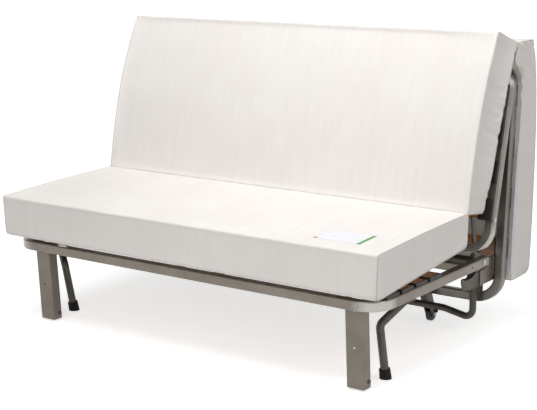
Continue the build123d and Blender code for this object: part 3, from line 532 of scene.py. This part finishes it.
def readPoints(mesh):
    # one row per point, in metres
    flat = np.empty(len(mesh.vertices) * 3)
    mesh.vertices.foreach_get("co", flat)
    return flat.reshape(-1, 3)


def writePoints(mesh, points):
    # the rows of readPoints put back
    mesh.vertices.foreach_set("co", np.asarray(points, np.float32).ravel())
    mesh.update()


def applyModifiers(piece):
    # the piece's own mesh becomes what its modifiers make of it
    depsgraph = bpy.context.evaluated_depsgraph_get()
    shown = piece.evaluated_get(depsgraph)
    made = bpy.data.meshes.new_from_object(shown, preserve_all_data_layers=True, depsgraph=depsgraph)
    piece.modifiers.clear()
    old, piece.data = piece.data, made
    bpy.data.meshes.remove(old)


def addWall(piece, thickness):
    # a thin sheet gets its thickness, half to each side
    wall = piece.modifiers.new("wall", "SOLIDIFY")
    wall.thickness = thickness
    wall.offset = 0


def inflate(piece, sewn, crown):
    # air pressure inside the sewn cover, its seams and rest held, then no point moves further than its cap
    began = readPoints(piece.data)
    seams = piece.vertex_groups.new(name="sewn")
    seams.add(np.flatnonzero(sewn).tolist(), 1.0, "REPLACE")
    cloth = piece.modifiers.new("sewnCover", "CLOTH")
    cloth.settings.vertex_group_mass = "sewn"
    cloth.settings.use_pressure = True
    cloth.settings.uniform_pressure_force = swell["pressure"]
    cloth.settings.effector_weights.gravity = 0
    cloth.settings.quality = swell["quality"]
    cloth.settings.tension_stiffness = swell["stiffness"]
    cloth.settings.compression_stiffness = swell["stiffness"]
    cloth.settings.bending_stiffness = swell["bending"]
    cloth.collision_settings.use_collision = False
    cloth.point_cache.frame_start = 1
    cloth.point_cache.frame_end = swell["frames"]
    for step in range(1, swell["frames"] + 1):
        bpy.context.scene.frame_set(step)
    shown = piece.evaluated_get(bpy.context.evaluated_depsgraph_get())
    swollen = readPoints(shown.data)
    piece.modifiers.clear()
    bpy.context.scene.frame_set(1)
    move = swollen - began
    far = np.linalg.norm(move, axis=1, keepdims=True)
    print(piece.name, "swelled by up to", round(float(far.max()) / mm, 1), "mm before the cap")
    cap = np.where(crown, swell["crownCap"], swell["sideCap"])[:, None]
    writePoints(piece.data, began + move * np.minimum(1, cap / np.maximum(far, tiny)))


folds = {
    # folds pulled into the end panels, in mm: start and end in the side view, width and depth
    "seatCushion": (((8, 300), (70, 318), 9, 2.0), ((430, 345), (500, 372), 9, 2.4)),
    "backCushion": (
        ((706, 776), (645, 790), 9, 3.5), ((692, 724), (622, 752), 10, 4.5), ((672, 700), (612, 724), 8, 3.0),
        ((668, 646), (596, 668), 10, 4.5), ((640, 616), (600, 628), 8, 2.2), ((640, 480), (560, 492), 6, 2.0),
        ((634, 456), (548, 470), 6, 2.2), ((780, 880), (726, 902), 8, 3.0),
    ),
    "rearCushion": (
        ((816, 908), (893, 812), 7, 12.0), ((826, 872), (912, 782), 7, 11.0),
        ((834, 830), (888, 735), 7, 10.0), ((842, 775), (880, 690), 7, 7.0),
        ((888, 917), (930, 890), 6, 6.0), ((850, 911), (925, 850), 7, 9.0),
        ((835, 250), (890, 236), 8, 3.0), ((838, 330), (880, 322), 8, 2.4),
    ),
}
foldForm = {
    "reach": 26 * mm,  # how far from the end of the block a fold still shows
    "bankHeight": 0.3, "bankPlace": 1.7, "bankWidth": 0.7,  # shares of the fold's depth and width
    "fade": 0.75,  # how much of its depth a fold has lost at its end
}


def pressFolds(piece, name):
    # each fold: a trough of bell section along its line, fading towards its end and away from the end panel
    points = readPoints(piece.data)
    side = np.sign(points[:, 0])
    near = np.clip(1 - (foam["width"] / 2 - np.abs(points[:, 0])) / foldForm["reach"], 0, 1)
    flat = np.column_stack([points[:, 1] - frontEdge, points[:, 2]]) / mm
    push = np.zeros(len(points))
    for start, end, width, depth in folds[name]:
        start, run = np.array(start, float), np.array(end, float) - np.array(start, float)
        share = ((flat - start) @ run) / (run @ run)
        off = flat - (start + np.clip(share, 0, 1)[:, None] * run)
        gap = np.linalg.norm(off, axis=1) / width
        # a low bank stands beside the trough, as cloth that is pushed together
        bank = np.exp(-((gap - foldForm["bankPlace"]) / foldForm["bankWidth"]) ** 2)
        fade = np.where(share < 0, 1, 1 - foldForm["fade"] * np.clip(share, 0, 1))
        push += depth * mm * (np.exp(-gap ** 2) - foldForm["bankHeight"] * bank) * fade
    points[:, 0] -= side * push * near
    writePoints(piece.data, points)


def gridFaces(rows, columns, closed=(False, False)):
    # the squares of a grid of points numbered row by row, joined end to start where closed
    row = np.arange(rows if closed[0] else rows - 1)[:, None]
    column = np.arange(columns if closed[1] else columns - 1)[None, :]
    after, beside = (row + 1) % rows, (column + 1) % columns
    starts, ends = row * columns, after * columns
    corners = [starts + column, starts + beside, ends + beside, ends + column]
    spread = [np.broadcast_to(corner, (row.size, column.size)) for corner in corners]
    return np.stack(spread, -1).reshape(-1, 4)


tubeTaper = {"power": 0.35, "end": 0.02}  # an open tube narrows with this power of a half wave, to this share


def tubeAlong(name, path, across, radii, material, closed=False, around=10):
    # an oval carried along a path: one half axis along the given direction, the other square to both
    path = np.asarray(path)
    ahead = np.roll(path, -1, 0) - np.roll(path, 1, 0)
    if not closed:
        ahead[0], ahead[-1] = path[1] - path[0], path[-1] - path[-2]
    ahead /= np.linalg.norm(ahead, axis=1, keepdims=True)
    out = np.cross(ahead, across)
    out /= np.linalg.norm(out, axis=1, keepdims=True)
    turn = np.linspace(0, 2 * math.pi, around, endpoint=False)
    if closed:
        taper = np.ones(len(path))
    else:
        taper = np.sin(np.linspace(0, math.pi, len(path))) ** tubeTaper["power"] + tubeTaper["end"]
    ring = radii[0] * np.cos(turn)[None, :, None] * np.asarray(across, float)
    ring = ring + radii[1] * np.sin(turn)[None, :, None] * out[:, None, :]
    points = (path[:, None, :] + ring * taper[:, None, None]).reshape(-1, 3)
    faces = gridFaces(len(path), around, (closed, True)).tolist()
    if not closed:
        faces += [list(range(around)), list(range((len(path) - 1) * around, len(path) * around))[::-1]]
    return meshPiece(name, points, faces, material)


widthWay = (1.0, 0.0, 0.0)
welt = {"column": 2, "radius": 2.3 * mm, "around": 8}


def makeWelts(piece, name, number, body):
    # piping round each end panel: the ring of lattice points beside the end, once round the section
    for side, column in (("Right", welt["column"]), ("Left", number.shape[1] - 1 - welt["column"])):
        section = number[:, column, :]
        ring = np.concatenate([section[:, 0], section[-1, 1:], section[-2::-1, -1], section[0, -2:0:-1]])
        path = readPoints(piece.data)[ring]
        radii = (welt["radius"], welt["radius"])
        title = name + "Welt" + side
        made = tubeAlong(title, path, widthWay, radii, weltTape, closed=True, around=welt["around"])
        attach(made, body)


def layRibs(piece, rounded, size):
    # ribs run along the block on its long sides and up its ends: their own coordinates, in metres
    ends = np.abs(rounded[:, 1] / size[1] - 0.5) > 0.5 - foam["endTouch"]
    across = np.where(ends, rounded[:, 0], rounded[:, 1])
    along = np.where(ends, rounded[:, 1], rounded[:, 0])
    ribs = np.column_stack([across, along, rounded[:, 2]])
    layer = piece.data.attributes.new("ribWay", "FLOAT_VECTOR", "POINT")
    layer.data.foreach_set("vector", ribs.astype(np.float32).ravel())


def makeCushion(name):
    # a rounded box, bent to its section, swollen as cloth and refined once, with folds and piping
    spec = blocks[name]
    size = sizeOf(spec)
    rounded, number, faces, sewn, crown = roundedBox(size, spec)
    piece = meshPiece(name, bendToSection(rounded, size, spec), faces, cover)
    layRibs(piece, rounded, size)
    inflate(piece, sewn, crown)
    finer = piece.modifiers.new("finer", "SUBSURF")
    finer.levels = finer.render_levels = 1
    applyModifiers(piece)
    pressFolds(piece, name)
    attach(piece, spec["body"])
    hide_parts(spec["node"])
    makeWelts(piece, name, number, spec["body"])
    print(name, "made:", len(piece.data.polygons), "faces")
    return piece


cushions = {name: makeCushion(name) for name in blocks}


# Details of the covers

def stripAlong(name, line, low, high, columns, material, thickness):
    # a line of the side view, in mm, carried straight across from low to high, then given its thickness
    line = np.array(line, float) * mm
    reach = np.linspace(low * mm, high * mm, columns)
    depths, heights = np.tile(line[:, 0] + frontEdge, columns), np.tile(line[:, 1], columns)
    points = np.column_stack([np.repeat(reach, len(line)), depths, heights])
    piece = meshPiece(name, points, gridFaces(columns, len(line)), material)
    addWall(piece, thickness)
    applyModifiers(piece)
    return piece


web = {
    "from": (795.5, 912.5), "to": (816.5, 910.0), "sag": 6.5, "half": 694, "thickness": 1.4 * mm,
    "rows": 13, "columns": 60,
}


def makeWeb():
    # the covers' shared cloth at the top fold, right across: a straight line that sags by a half wave
    share = np.linspace(0, 1, web["rows"])
    start, end = np.array(web["from"]), np.array(web["to"])
    line = start + share[:, None] * (end - start)
    line[:, 1] -= web["sag"] * np.sin(math.pi * share)
    piece = stripAlong("foldWeb", line, -web["half"], web["half"], web["columns"], cover, web["thickness"])
    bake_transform(piece)


liningRoll = {"start": 0.42, "end": 0.975, "inset": 4 * mm, "radii": (5 * mm, 7 * mm), "rows": 60}


def makeLining():
    # the pale underside cloth of the rear block, which rolls out between the slats and the end panel
    share = np.linspace(liningRoll["start"], liningRoll["end"], liningRoll["rows"])
    line = sideLine(blocks["rearCushion"]["rest"], share)
    for side, sign in (("Right", -1), ("Left", 1)):
        reach = np.full(len(line), sign * (foam["width"] / 2 - liningRoll["inset"]))
        path = np.column_stack([reach, line[:, 0] + frontEdge, line[:, 1]])
        piece = tubeAlong("liningRoll" + side, path, widthWay, liningRoll["radii"], lining)
        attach(piece, "rear_section")


label = {
    "middle": (519, 125), "size": (150, 91), "thickness": 0.5 * mm, "above": 0.7 * mm,
    "paper": "#EFEEF3", "ink": "#D3D2DA", "bar": "#5E9E58", "corner": "#D9663E",
    "rules": (0.36, 0.64), "ruleWidth": 0.02, "barFrom": 0.93, "cornerTo": 0.1,  # shares of the card's sides
    "rows": 31, "columns": 19, "dropFrom": 600 * mm,
    "weave": 1.4286 * mm, "relief": 0.1 * mm,  # a real weave is finer, drawn this coarse so that it shows
}


def makeLabelCard():
    # satin card without words: pale with a coloured bar at one end, a small corner mark and two faint rules
    material = emptied(bpy.data.materials.new("labelSatinCard"))
    cardWay = addNode(material, "Attribute", attribute_name="cardWay").outputs["Vector"]
    axes = addNode(material, "SeparateXYZ", {0: cardWay})
    place = addNode(material, "TexCoord").outputs["Object"]
    weave = addNode(material, "TexNoise", {"Vector": place, "Scale": 1 / label["weave"]})
    along, up = axes.outputs["X"], axes.outputs["Y"]
    stops = [(0.0, label["paper"])]
    for rule in label["rules"]:
        stops += [(rule, label["ink"]), (rule + label["ruleWidth"], label["paper"])]
    ruled = addNode(material, "ValToRGB", {"Fac": up}, stops=stops)
    ruled.color_ramp.interpolation = "CONSTANT"
    bar = addNode(material, "Math", {0: along, 1: label["barFrom"]}, operation="GREATER_THAN")
    barred = addNode(material, "Mix", {
        "Factor": bar.outputs[0], "A": ruled.outputs[0], "B": linearColour(label["bar"]),
    }, data_type="RGBA")
    together = addNode(material, "Math", {0: along, 1: up}, operation="ADD")
    mark = addNode(material, "Math", {0: together.outputs[0], 1: label["cornerTo"]}, operation="LESS_THAN")
    marked = addNode(material, "Mix", {
        "Factor": mark.outputs[0], "A": barred.outputs["Result"], "B": linearColour(label["corner"]),
    }, data_type="RGBA")
    bump = addNode(material, "Bump", {
        "Strength": 0.1, "Distance": label["relief"], "Height": weave.outputs["Fac"],
    })
    shader = addNode(material, "BsdfPrincipled", {
        "Base Color": marked.outputs["Result"], "Roughness": 0.45, "Normal": bump.outputs[0],
    })
    addNode(material, "OutputMaterial", {"Surface": shader.outputs[0]})
    return material


def makeLabel():
    # a flat card above the seat, then let down onto the cushion's crown
    rows, columns = label["rows"], label["columns"]
    sides = (np.linspace(0, 1, rows), np.linspace(0, 1, columns))
    share = np.stack(np.meshgrid(*sides, indexing="ij"), -1).reshape(-1, 2)
    place = (np.array(label["middle"]) + (share - 0.5) * np.array(label["size"])) * mm
    points = np.column_stack([place[:, 0], place[:, 1] + frontEdge, np.full(len(place), label["dropFrom"])])
    piece = meshPiece("seatLabel", points, gridFaces(rows, columns)[:, ::-1], makeLabelCard())
    cardWay = np.column_stack([share, np.zeros(len(share))])
    layer = piece.data.attributes.new("cardWay", "FLOAT_VECTOR", "POINT")
    layer.data.foreach_set("vector", cardWay.astype(np.float32).ravel())
    lay = piece.modifiers.new("letDown", "SHRINKWRAP")
    lay.target = cushions["seatCushion"]
    lay.wrap_method = "PROJECT"
    lay.offset = label["above"]
    lay.use_project_z = True
    lay.use_positive_direction = False
    lay.use_negative_direction = True
    addWall(piece, label["thickness"])
    applyModifiers(piece)
    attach(piece, "seat_section")


tab = {
    "reach": (-470, -438), "thickness": 1.2 * mm, "columns": 5,
    "line": ((26, 291), (12, 288), (7, 283.5), (7.5, 279.5), (11, 279), (16, 283), (28, 288)),
}


def makeTab():
    # a folded loop of tape sewn under the seat block's front edge
    piece = stripAlong("seatTab", tab["line"], *tab["reach"], tab["columns"], weltTape, tab["thickness"])
    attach(piece, "seat_section")


makeWeb()
makeLining()
makeLabel()
makeTab()
print("cover details made")


# Room, lamps and camera

room = {
    # metres: half width, front end, where the wall's bend starts, its radius, and the wall's height
    "half": 12.0, "front": -12.0, "wall": 12.0, "bend": 1.5, "height": 9.0, "bendRows": 24,
    "paint": "#EDEDEC",
    # how white the floor is drawn, from near the object out to where the lamps no longer reach
    "near": 0.9, "far": 3.2, "nearWhite": 0.68, "farWhite": 1.0,
}
plainWhite = (1, 1, 1, 1)


def whereSeen(owner):
    # 1 where the camera, a reflection or a clear material looks straight at it, else 0
    path = addNode(owner, "LightPath")
    seen = path.outputs["Is Camera Ray"]
    for ray in ("Is Glossy Ray", "Is Transmission Ray"):
        seen = addNode(owner, "Math", {0: seen, 1: path.outputs[ray]}, operation="MAXIMUM").outputs[0]
    return seen


def makeWhite():
    # matt white paint, with a white glow added wherever it is seen
    material = emptied(bpy.data.materials.new("studioWhite"))
    place = addNode(material, "TexCoord").outputs["Object"]
    far = addNode(material, "VectorMath", {0: place}, operation="LENGTH")
    white = addNode(material, "MapRange", {
        "Value": far.outputs["Value"], "From Min": room["near"], "From Max": room["far"],
        "To Min": room["nearWhite"], "To Max": room["farWhite"],
    })
    lift = addNode(material, "Math", {0: whereSeen(material), 1: white.outputs[0]}, operation="MULTIPLY")
    matt = addNode(material, "BsdfDiffuse", {"Color": linearColour(room["paint"])})
    glow = addNode(material, "Emission", {"Color": plainWhite, "Strength": lift.outputs[0]})
    both = addNode(material, "AddShader", {0: matt.outputs[0], 1: glow.outputs[0]})
    addNode(material, "OutputMaterial", {"Surface": both.outputs[0]})
    return material


def makeRoom():
    # floor and wall: flat, then a quarter turn, then upright, carried straight across
    angle = np.linspace(0, math.pi / 2, room["bendRows"])
    bendDepths = room["wall"] + room["bend"] * np.sin(angle)
    bendHeights = room["bend"] - room["bend"] * np.cos(angle)
    depths = np.concatenate([[room["front"]], bendDepths, [room["wall"] + room["bend"]]])
    heights = np.concatenate([[0.0], bendHeights, [room["height"]]])
    rows = len(depths)
    sides = [np.column_stack([np.full(rows, x), depths, heights]) for x in (-room["half"], room["half"])]
    index = np.arange(rows - 1)
    faces = np.column_stack([index, index + rows, index + rows + 1, index + 1])
    meshPiece("studioRoom", np.concatenate(sides), faces, makeWhite())


lamps = {
    "topLamp": {"place": (0.3, -0.95, 3.2), "aim": (0.0, 0.1, 0.5), "size": 2.2, "power": 66},
    "frontLamp": {"place": (0.9, -3.6, 2.2), "aim": (0.0, 0.0, 0.6), "size": 2.4, "power": 25},
    "sideLamp": {"place": (3.2, -0.2, 2.8), "aim": (0.4, 0.2, 0.7), "size": 1.8, "power": 27},
}


def makeLamp(name):
    # a square soft box at its place, turned to its aim
    spec = lamps[name]
    data = bpy.data.lights.new(name, "AREA")
    data.size = spec["size"]
    data.energy = spec["power"]
    lamp = bpy.data.objects.new(name, data)
    bpy.context.scene.collection.objects.link(lamp)
    away = Vector(spec["place"]) - Vector(spec["aim"])
    lamp.matrix_world = Matrix.Translation(spec["place"]) @ away.to_track_quat("Z", "Y").to_matrix().to_4x4()


airLight = 0.19  # strength of the soft light from all sides


def makeWorld():
    # soft light from all sides, drawn plain white where it is seen
    world = emptied(bpy.data.worlds.new("studioAir"))
    soft = addNode(world, "Background", {"Color": plainWhite, "Strength": airLight})
    plain = addNode(world, "Background", {"Color": plainWhite, "Strength": 1.0})
    mix = addNode(world, "MixShader", {0: whereSeen(world), 1: soft.outputs[0], 2: plain.outputs[0]})
    addNode(world, "OutputWorld", {"Surface": mix.outputs[0]})
    bpy.context.scene.world = world


view = {
    # place in mm from the seat block's front face, turns in radians
    "place": (2410.056, -2875.538, 1245.616), "pitch": 0.210280, "yaw": -0.611744, "roll": -0.001548,
    # focal length, optical middle and size of the picture in pixels
    "focus": 1313.85, "middle": (281.82, 211.53), "picture": (537, 410),
    "sensor": 36.0, "clipEnd": 60.0,
}


def makeCamera():
    # forward, right and up of the camera from its pitch, yaw and roll
    sinYaw, cosYaw = math.sin(view["yaw"]), math.cos(view["yaw"])
    sinPitch, cosPitch = math.sin(view["pitch"]), math.cos(view["pitch"])
    sinRoll, cosRoll = math.sin(view["roll"]), math.cos(view["roll"])
    forward = np.array([sinYaw * cosPitch, cosYaw * cosPitch, -sinPitch])
    right = np.array([cosYaw, -sinYaw, 0.0])
    up = np.cross(right, forward)
    columns = np.column_stack([cosRoll * right + sinRoll * up, cosRoll * up - sinRoll * right, -forward])
    width, height = view["picture"]
    data = bpy.data.cameras.new("camera")
    data.sensor_width = view["sensor"]
    data.lens = view["focus"] / width * view["sensor"]
    data.shift_x = (width / 2 - view["middle"][0]) / width
    data.shift_y = (view["middle"][1] - height / 2) / width
    data.clip_end = view["clipEnd"]
    camera = bpy.data.objects.new("camera", data)
    bpy.context.scene.collection.objects.link(camera)
    place = np.array(view["place"]) * mm + np.array([0, frontEdge, 0])
    camera.matrix_world = Matrix.Translation(place.tolist()) @ Matrix(columns.tolist()).to_4x4()
    bpy.context.scene.camera = camera


makeRoom()
for lampName in lamps:
    makeLamp(lampName)
makeWorld()
makeCamera()
bpy.context.scene.view_settings.view_transform = "Standard"
print("room, lamps and camera made")
